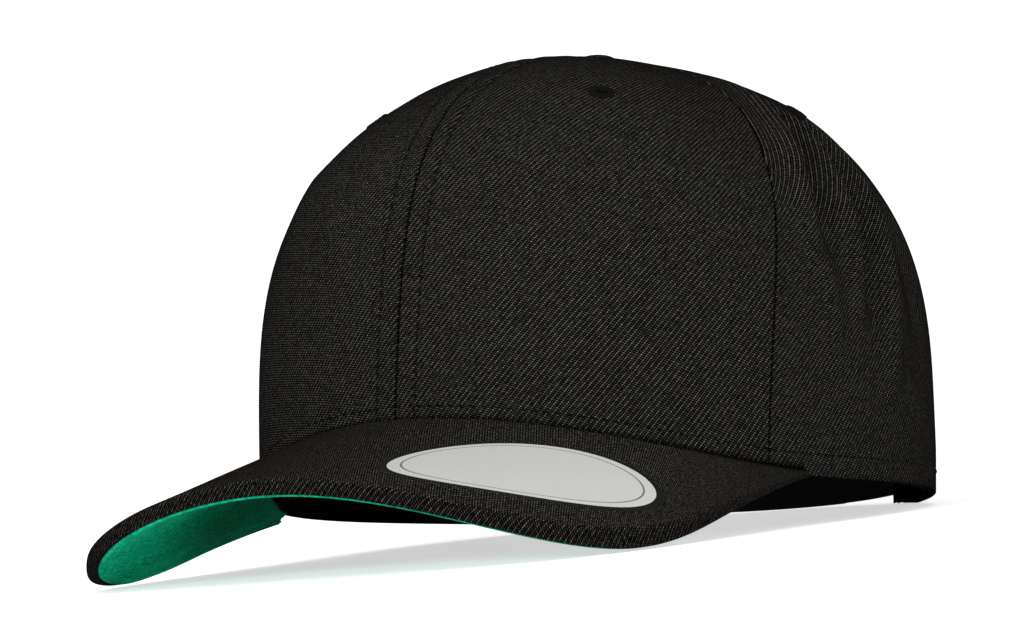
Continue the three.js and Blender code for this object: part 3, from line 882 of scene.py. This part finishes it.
def right_bend(u):
    """A bell around the visor's bend on the wearer's right, where it's fullest."""
    return bell(u, -0.37, 0.11)


def soft_visor_point(u, v, depth, inset):
    """The visor's point with the sewn cloth's longer taper, finer on the wearer's left."""
    thinning = mix(0.45, SOFT_THINNING, smooth(u, -0.2, 0.2))
    return visor_point(u, v, depth, inset - COVER_FULLER * right_bend(u), thinning, SOFT_THINS_FROM)


def cover_section(top=70, edge=22, under=40):
    """Shares outwards, depths and bulge around the cover: top, rounded edge, underneath."""
    turn = np.linspace(0, np.pi, edge + 2)[1:-1]
    reach = np.concatenate([np.linspace(0, 1, top), np.ones(edge), np.linspace(1, 0, under)])
    depth = np.pad(COVER_WALL * (1 - np.cos(turn)) / 2, (top, under), constant_values=(0, COVER_WALL))
    return reach, depth, np.pad(np.abs(np.sin(turn)) ** 0.6, (top, under))


def build_visor_cover(columns=260):
    """The section carried along u, drawn in by the rounding before its edge bulges out."""
    u = np.linspace(-1, 1, columns)[None]
    reach, depth, bulge = (column[:, None] for column in cover_section())
    thin = 1 - SOFT_THINNING * smooth(np.abs(u), SOFT_THINS_FROM, 1)
    inset = COVER_ROUNDING * thin * (1 - bulge)
    fuller = (EXTRA_ABOVE + EXTRA_BELOW) / COVER_WALL + 1
    raised = EXTRA_ABOVE * smooth(reach, 0.3, 1.0)
    points = soft_visor_point(u + 0 * reach, reach + 0 * u, depth * fuller - raised + 0 * u, inset)
    wobble = 0.12 * np.sin(9 * u + 4 * reach) * np.sin(5 * reach + 1) * (depth == 0)
    points[..., 2] += wobble * smooth(reach, 0.05, 0.3)
    faces = grid_faces(*points.shape[:2])[:, ::-1]
    # painted shade: darker next to the crown and on the rounded edge band
    clear_of_painted_shade = smooth(reach * visor_edges(u)[-1], 0.1, 1.4) * (1 - 0.55 * bulge)
    obj = make_object("visor_cover_cloth", place(points), faces, surface_map(points), clear_of_painted_shade=clear_of_painted_shade)
    return finish(obj, VISOR_TWILL, "visor_twill", "visor_cover")


def build_underside(columns=200, rows=50):
    """The green cloth: a thin sheet under the board, turned in at its outer edge."""
    u = np.linspace(-0.985, 0.985, columns)[None]
    width = visor_edges(u)[-1]
    v = mix(-GREEN_RUNS_IN / width, 1, np.linspace(0, 1, rows)[:, None])
    top = UNDERSIDE_DEPTH + EXTRA_BELOW - 0.2
    to_edge = (1 - v) * width
    crease = 0.35 * bell(to_edge, 2.6, 0.5)
    outward = 1 - smooth(to_edge, 0, 1.6)
    inset = UNDERSIDE_INSET + GREEN_SET_IN * right_bend(u)
    above, below = (soft_visor_point(u + 0 * v, v + 0 * u, depth + 0 * u, inset)
                    for depth in (top, top + UNDERSIDE_WALL * (1 - outward ** 2) - crease))
    points = np.concatenate([below, above[::-1]])
    faces = grid_faces(*points.shape[:2])
    obj = make_object("visor_underside_cloth", place(points), faces, surface_map(points))
    return finish(obj, GREEN_CLOTH, "green_cloth", "visor_underside")


build_visor_cover()
build_underside()


# %% [markdown]
# ## The sticker
# New caps carry a foil sticker on the visor. This one is a plain silver oval
# with a dark rim and one fine line inside it, bent to the visor's arch.

# %% Sticker
STICKER_AROUND, STICKER_FORWARD, STICKER_TURN, STICKER_LENGTH, STICKER_WIDTH = 53, 117, 45, 38, 16


def sticker_point(p, q, raised):
    """A flat oval's point, turned, wrapped around the arch and raised above the cloth."""
    turn = np.radians(STICKER_TURN)
    around = STICKER_AROUND + p * np.cos(turn) - q * np.sin(turn)
    y = -STICKER_FORWARD + p * np.sin(turn) + q * np.cos(turn)
    radius = arch_radius(y)
    return below_visor_top(radius * np.sin(around / radius), y, -raised)


def build_sticker(columns=120, rows=30):
    """Rings from the middle to the rim, with a rounded edge down to the cloth."""
    around = full_turn(columns)
    ring = np.concatenate([np.linspace(0.001, 1, rows), [1.006, 1.0]])[:, None]
    raised = np.concatenate([np.full(rows, 0.45), [0.3, 0.05]])[:, None] + 0 * around
    p = STICKER_LENGTH * ring * np.cos(around)
    q = STICKER_WIDTH * ring * np.sin(around)
    points, oval = sticker_point(p, q, raised), turned(ring, 0 * ring, around)[..., :2]
    obj = make_object("sticker_foil", place(points), grid_faces(*points.shape[:2], closed=True), oval)
    return finish(obj, foil_material(), "sticker_foil", "visor_sticker")


def foil_material():
    """Silver foil, brushed faintly along its length, with a dark rim and one fine line."""
    material, tree, shader = new_material("silver foil", 0.38)
    calc = partial(math, tree)
    vector = uv_vector(tree)
    radius = add_node(tree, "VectorMath", {0: vector}, operation="LENGTH").outputs["Value"]
    rim = calc("GREATER_THAN", radius, 0.955)
    line = calc("LESS_THAN", calc("ABSOLUTE", calc("SUBTRACT", radius, 0.86)), 0.008)
    ink = calc("MAXIMUM", rim, calc("MULTIPLY", line, 0.75))
    stretched = add_node(tree, "Mapping", {"Vector": vector, "Scale": (4, 160, 1)}).outputs[0]
    brushed = noise(tree, stretched, 1.0, 3)
    silver = colour_mix(tree, brushed, (0.70, 0.70, 0.68, 1), (0.78, 0.78, 0.76, 1))
    feed(tree, shader, {
        "Base Color": colour_mix(tree, ink, silver, (0.012, 0.012, 0.011, 1)),
        "Metallic": calc("MULTIPLY_ADD", ink, -0.35, 0.35),
        "Roughness": calc("MULTIPLY_ADD", brushed, 0.2, 0.32),
    })
    return material


build_sticker()


# %% [markdown]
# ## The sweatband
# Inside the rim runs a folded band of cloth. It is a long ribbon on the
# crown's own surface, set in by the thickness of the panels, and its ends
# step inwards over the sewn ends of the straps.

# %% Sweatband
BAND_HEIGHT, BAND_WALL, BAND_ENDS_BEFORE, BAND_TURN_IN = 30, 1.2, 6, 14
STRAP_HEIGHT, STRAP_WALL, STRAP_LIFT, STRAP_SEWN_IN, STRAP_END_MARGIN = 19, 1.2, 2.9, 14, 7
SNAP_COUNT, SNAP_PITCH, SNAP_SHIFT, PEG_RADIUS = 7, 9, 1, 1.8


def build_sweatband(columns=300, rows=14):
    """A closed ribbon: up its inner face, over a rounded fold and down its outer face."""
    end = rear_angle(OPENING_HALF_WIDTH + BAND_ENDS_BEFORE)
    step_to = rear_angle(OPENING_HALF_WIDTH + STRAP_SEWN_IN + 2)
    step_from = rear_angle(OPENING_HALF_WIDTH + STRAP_SEWN_IN + 2 + BAND_TURN_IN)
    angle = np.linspace(-end, end, columns)[None]
    turn = np.linspace(0, np.pi, 9)[1:-1]
    rise = np.linspace(0, BAND_HEIGHT, rows)
    height = np.concatenate([rise, BAND_HEIGHT + 0.5 * np.sin(turn), np.linspace(BAND_HEIGHT, 0, rows)])
    inner = np.concatenate([np.ones(rows), (1 + np.cos(turn)) / 2, np.zeros(rows)])
    over = 2 * (STRAP_WALL + CLEARANCE) * smooth(np.abs(angle), step_from, step_to)
    depth = WALL + CLEARANCE + over + BAND_WALL * inner[:, None]
    share = height[:, None] / CROWN_HEIGHT + 0 * angle
    points = crown_point(angle + 0 * share, share, depth)
    obj = make_object("sweatband_cloth", place(points), grid_faces(*points.shape[:2]), surface_map(points))
    return finish(obj, BAND_CLOTH, "sweatband_cloth", "sweatband")


build_sweatband()


def inside_line(height, count=700):
    """A line of stitches on the band's inner face."""
    end = rear_angle(OPENING_HALF_WIDTH + STRAP_SEWN_IN + BAND_TURN_IN + 4)
    angle = np.linspace(-end, end, count)
    share = np.full(count, height / CROWN_HEIGHT)
    depth = np.full(count, WALL + CLEARANCE + BAND_WALL)
    return crown_point(angle, share, depth), -crown_normal(angle, share)


stitch_object("band_stitching", [inside_line(3.0), inside_line(BAND_HEIGHT - 3.0)], THREAD)

# %% [markdown]
# ## The snap closure
# Two moulded plastic straps come out from under the sweatband's ends. One has
# a row of round holes, the other has pegs with domed heads that snap through
# them. A hole is a ring of quads between a circle and the border of its own
# rectangle of strap. Equal border points make the rectangles join up, and the
# end is drawn in to a half round.

# %% Straps
HALF_STRAP = STRAP_HEIGHT / 2
STRAP_ROOT = OPENING_HALF_WIDTH + STRAP_SEWN_IN
FIRST_SNAP = (SNAP_COUNT - 1) / 2 * SNAP_PITCH - SNAP_SHIFT * SNAP_PITCH / 2
STRAP_TIP = FIRST_SNAP + STRAP_END_MARGIN
STRAP_LENGTH = STRAP_ROOT + STRAP_TIP


def strap_place(along, up, side, depth):
    """A point of a flat strap, its end drawn in to a half round, laid on the crown's inside."""
    into_end = np.maximum(along - (STRAP_LENGTH - HALF_STRAP), 0) / HALF_STRAP
    outline = np.sqrt(np.maximum(1 - into_end ** 2, 0.12 ** 2))
    beyond_hole = 1 - smooth(STRAP_LENGTH - along, 2.5, 4.8)
    up = up * mix(1, outline, np.maximum(smooth(np.abs(up), 3, HALF_STRAP), beyond_hole))
    angle = rear_angle(side * (STRAP_ROOT - along))
    share = (STRAP_LIFT + HALF_STRAP + up) / CROWN_HEIGHT
    return crown_point(angle, share, depth + 0 * along)


def plain_strip(start, end, columns):
    """A grid of flat points from one place along the strap to another."""
    along, up = np.meshgrid(np.linspace(start, end, columns), np.linspace(-HALF_STRAP, HALF_STRAP, 17))
    return np.stack([along, up], -1).reshape(-1, 2), grid_faces(17, columns)


def pierced_cells(centres, hole):
    """Each cell runs from its circle to its rectangle, which has 17 points along each side edge."""
    side = np.linspace(-1, 1, 17)
    level = np.linspace(-1, 1, 9)
    border = np.concatenate([
        np.stack([np.ones(16), side[:-1]], -1), np.stack([-level[:-1], np.ones(8)], -1),
        np.stack([-np.ones(16), -side[:-1]], -1), np.stack([level[:-1], -np.ones(8)], -1),
    ]) * (SNAP_PITCH / 2, HALF_STRAP)
    turn = np.arctan2(border[:, 1], border[:, 0])
    circle = np.stack([np.cos(turn), np.sin(turn)], -1) * hole
    rings = mix(circle[None], border[None], (np.linspace(0, 1, 6) ** 1.3)[:, None, None])
    points = rings[None] + np.stack([centres, 0 * centres], -1)[:, None, None]
    return points.reshape(-1, 2), repeated(grid_faces(*rings.shape[:2], closed=True), len(centres))


def joined(parts):
    """Puts point sets together and merges the points that coincide."""
    starts = np.cumsum([0] + [len(points) for points, _ in parts[:-1]])
    faces = np.concatenate([faces + start for (_, faces), start in zip(parts, starts)])
    points = np.concatenate([points for points, _ in parts])
    _, kept, number = np.unique(np.round(points, 3), axis=0, return_index=True, return_inverse=True)
    return points[kept], number.reshape(-1)[faces]


def facing_out(points, faces, middle):
    """Turns all faces over if they mostly look towards the middle."""
    corners = points[faces]
    normal = np.cross(corners[:, 1] - corners[:, 0], corners[:, 2] - corners[:, 0])
    outwards = (normal * (corners.mean(axis=1) - middle)).sum()
    return faces if outwards > 0 else faces[:, ::-1]


def build_strap(name, node, side, depth, parts):
    """The flat strap laid in place, given its thickness and softened edges."""
    flat, faces = joined(parts)
    points = strap_place(flat[:, 0], flat[:, 1], side, depth)
    faces = facing_out(points, faces, np.array([0, 0, 12.0]))
    obj = thicken(make_object(name, place(points), faces, flat, smooth_shading=False), STRAP_WALL)
    edge = obj.modifiers.new("soft edge", "BEVEL")
    edge.width, edge.segments, edge.angle_limit = 0.28 * MM, 2, np.radians(50)
    return finish(obj, PLASTIC, "strap_plastic", node)


PLASTIC, plastic_tree, plastic_shader, grain = grained_material(
    "strap plastic", (0.006, 0.006, 0.0058, 1), (0.010, 0.010, 0.0096, 1),
    roughness=0.42, specular=0.4, scale=2500, strength=0.15, distance=0.05)
feed(plastic_tree, plastic_shader, {"Roughness": math(plastic_tree, "MULTIPLY_ADD", grain, 0.2, 0.34)})
snap_steps = np.arange(SNAP_COUNT) - (SNAP_COUNT - 1) / 2
hole_centres = STRAP_ROOT + (snap_steps - SNAP_SHIFT / 2) * SNAP_PITCH
PEG_DEPTH = WALL + STRAP_WALL + 2 * CLEARANCE
build_strap("hole_strap", "snap_strap_holes", -1, WALL + CLEARANCE, [
    plain_strip(0, hole_centres[0] - SNAP_PITCH / 2, 30),
    pierced_cells(hole_centres, PEG_RADIUS + CLEARANCE),
    plain_strip(hole_centres[-1] + SNAP_PITCH / 2, STRAP_LENGTH, 9),
])
build_strap("peg_strap", "snap_strap_pegs", 1, PEG_DEPTH, [plain_strip(0, STRAP_LENGTH, 100)])


# %% Pegs
def build_pegs():
    """A turned peg: straight stem, under-cut head and low dome, set on the strap seven times."""
    radius = np.array([1.75, 1.7, 1.7, 2.3, 2.42, 2.36, 2.1, 1.4, 0.6, 0.02])[:, None]
    height = np.array([0, 0.25, 1.9, 1.95, 2.15, 2.42, 2.66, 2.86, 2.94, 2.95])[:, None] - PEG_DEPTH
    peg = turned(radius, height, full_turn(32))
    share = (STRAP_LIFT + HALF_STRAP) / CROWN_HEIGHT
    places = (snap_steps + SNAP_SHIFT / 2) * SNAP_PITCH
    points = np.stack([stand_on_crown(peg, rear_angle(at), share) for at in places])
    faces = repeated(grid_faces(*peg.shape[:2], closed=True), SNAP_COUNT)
    return finish(make_object("strap_pegs", place(points), faces), PLASTIC, "strap_plastic")


build_pegs()


# %% [markdown]
# ## Camera, floor and light
# The photograph was taken almost at table height, from the wearer's front
# left, with a long lens and a slight roll. The camera's distance and lens
# follow from how much of the picture the cap fills.

# %% Camera
AZIMUTH, ELEVATION, ROLL = 32.3, -7.0, -0.9
DISTANCE, PIXELS_PER_MM, AIM_X, AIM_Y = 1826, 3.772, 595, 267.6
PICTURE = (1024, 638)


def camera_axes():
    """The camera's back, right and up directions in the cap's own frame."""
    a, e, r = np.radians([AZIMUTH, ELEVATION, ROLL])
    back = np.array([np.sin(a) * np.cos(e), -np.cos(a) * np.cos(e), np.sin(e)])
    level = np.array([np.cos(a), np.sin(a), 0])
    rise = np.cross(back, level)
    return back, level * np.cos(r) + rise * np.sin(r), rise * np.cos(r) - level * np.sin(r)


def add_camera():
    """Stands off along its back direction, moved sideways so that the aim lands on its pixel."""
    back, right, up = camera_axes()
    aim = np.array([0, 0, 60.0])
    side = (PICTURE[0] / 2 - AIM_X) / PIXELS_PER_MM
    rise = (AIM_Y - PICTURE[1] / 2) / PIXELS_PER_MM
    eye = aim + back * DISTANCE + right * side + up * rise
    turn = place(np.stack([right, up, back, 0 * up]), press=False)
    axes = (turn[:3] - turn[3]) / MM
    data = bpy.data.cameras.new("camera")
    data.sensor_width = 36
    data.lens = 36 * PIXELS_PER_MM * DISTANCE / PICTURE[0]
    camera = bpy.data.objects.new("camera", data)
    matrix = np.eye(4)
    matrix[:3, :3] = axes.T
    matrix[:3, 3] = place(eye, press=False)
    camera.matrix_world = Matrix(matrix.tolist())
    bpy.context.scene.collection.objects.link(camera)
    bpy.context.scene.camera = camera
    print("camera height", round(float(matrix[2, 3]), 4), "lens", round(data.lens, 1))


add_camera()


# %% Floor and light
def add_light(name, place_m, aim_m, size, power):
    """A soft square lamp that faces a point."""
    data = bpy.data.lights.new(name, "AREA")
    data.shape = "SQUARE"
    data.size = size
    data.energy = power
    lamp = bpy.data.objects.new(name, data)
    lamp.location = place_m
    lamp.rotation_euler = (Vector(aim_m) - Vector(place_m)).to_track_quat("-Z", "Y").to_euler()
    bpy.context.scene.collection.objects.link(lamp)


world = bpy.data.worlds.new("studio")
world.use_nodes = True
tree = world.node_tree
strength = math(tree, "MULTIPLY_ADD", camera_ray(tree), 0.9, 0.3)
feed(tree, tree.nodes["Background"], {"Color": (1, 1, 1, 1), "Strength": strength})
bpy.context.scene.world = world
bpy.context.scene.view_settings.view_transform = "Standard"
add_light("key", (-0.7, -1.3, 1.1), (0, 0, 0.06), 0.5, 4)
add_light("raking", (0.1, -1.6, 0.45), (0, 0, 0.05), 0.25, 10)
add_light("side", (1.5, 0.6, 0.6), (0, 0, 0.06), 0.4, 2.5)
add_light("low", (1.2, -0.75, 0.045), (0, -0.1, 0.01), 0.2, 9)
sky = bpy.data.lights.new("overhead", "SUN")
sky.energy = 1.0
sky.angle = 1.2
overhead = bpy.data.objects.new("overhead", sky)
overhead.rotation_euler = (0.25, 0.2, 0)
bpy.context.scene.collection.objects.link(overhead)

FLOOR_REACH = 6.0
corners = np.array([[-1, -1, 0], [1, -1, 0], [1, 1, 0], [-1, 1, 0]]) * FLOOR_REACH
floor = make_object("floor", corners, [[0, 1, 2, 3]])
floor_material, tree, shader = new_material("pale floor", 0.9)
glow = math(tree, "MULTIPLY", camera_ray(tree), 0.6)
feed(tree, shader, {
    "Base Color": (0.85, 0.85, 0.85, 1), "Emission Color": (1, 1, 1, 1), "Emission Strength": glow})
floor.data.materials.append(floor_material)
